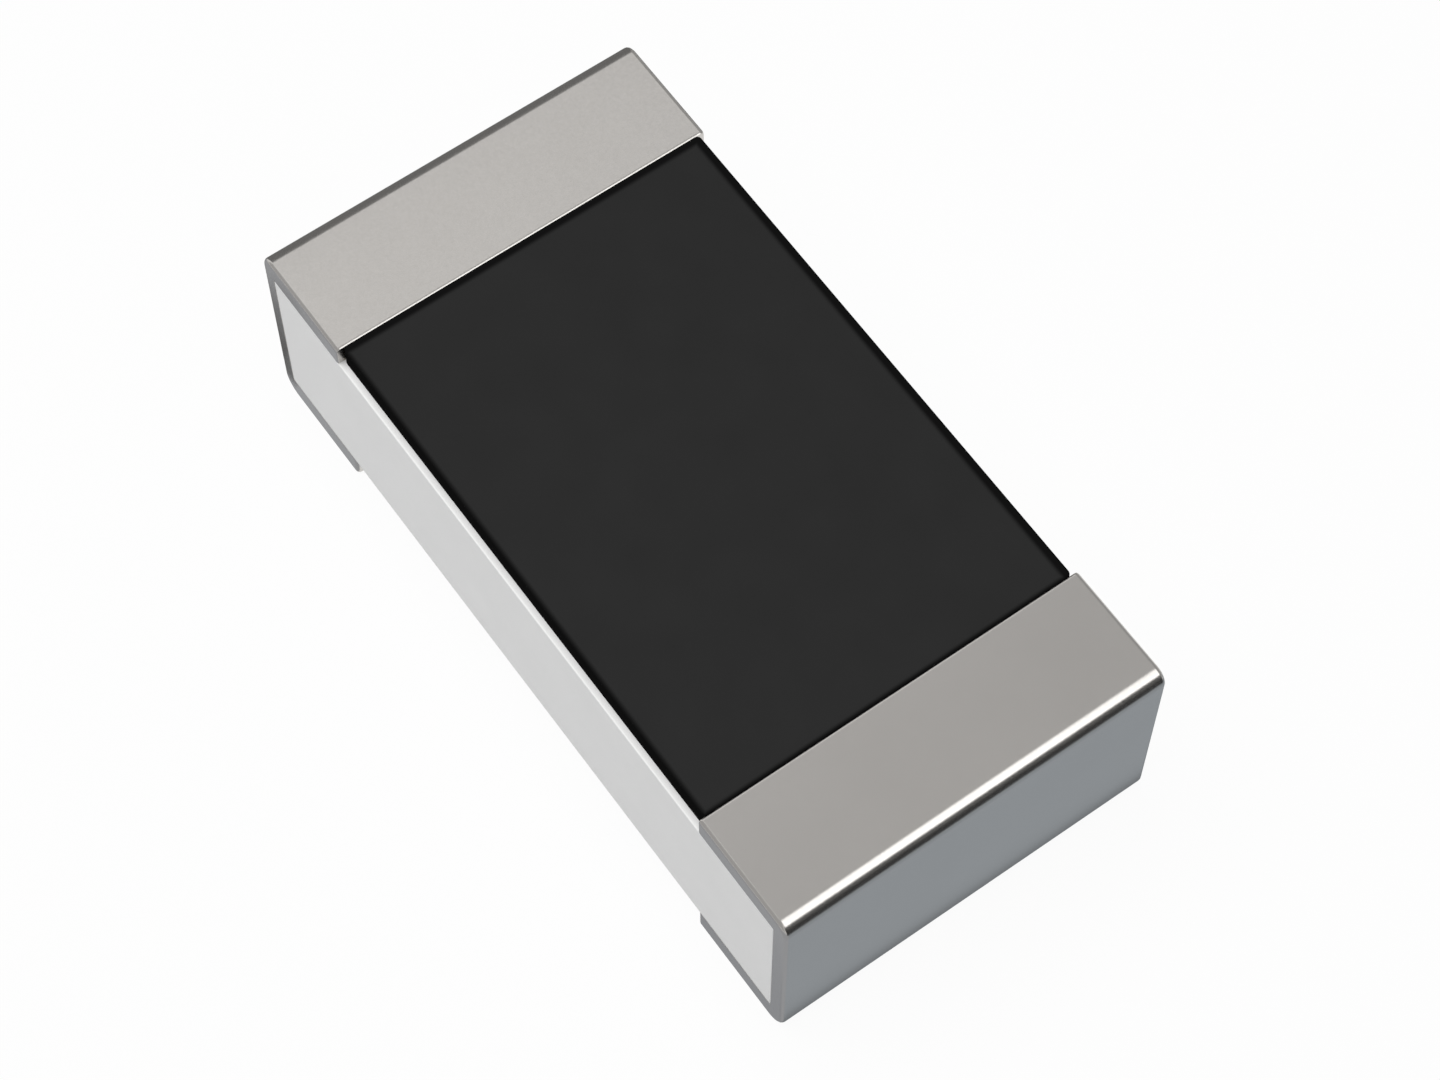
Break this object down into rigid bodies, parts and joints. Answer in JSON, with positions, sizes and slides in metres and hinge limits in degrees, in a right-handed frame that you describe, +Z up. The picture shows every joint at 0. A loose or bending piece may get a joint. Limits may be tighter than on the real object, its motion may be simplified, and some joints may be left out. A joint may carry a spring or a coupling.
{
  "type": "smd chip resistor",
  "caption": "Small flat rectangular surface-mount resistor: white ceramic body, plain black coat on top and satin metal terminations that wrap over its ends for soldering.",
  "frame": {"origin": "middle of the chip's box, where a placing machine holds it", "axes": "+X along the chip from one termination to the other, +Y across it, +Z up through the coat"},
  "size_m": [0.0016, 0.0008, 0.0004],
  "materials": {
    "alumina": "fine matt white alumina, fired and snapped from a sheet",
    "silver_print": "printed and fired silver paste",
    "film": "printed and fired resistive paste, dark and matt",
    "inner_glass": "thin fired glass",
    "black_coat": "black printed resin, smooth and satin",
    "edge_metal": "thin conductive layer round the end",
    "nickel": "plated nickel",
    "tin": "satin matt tin plating"
  },
  "bodies": {
    "root": {"ceramic_substrate": "alumina", "top_conductor_left": "silver_print", "top_conductor_right": "silver_print", "bottom_conductor_left": "silver_print", "bottom_conductor_right": "silver_print", "resistive_film": "film", "glass_layer": "inner_glass", "protective_coat": "black_coat", "edge_conductor_left": "edge_metal", "edge_conductor_right": "edge_metal", "nickel_barrier_left": "nickel", "nickel_barrier_right": "nickel", "tin_plating_left": "tin", "tin_plating_right": "tin"}
  },
  "joints": []
}
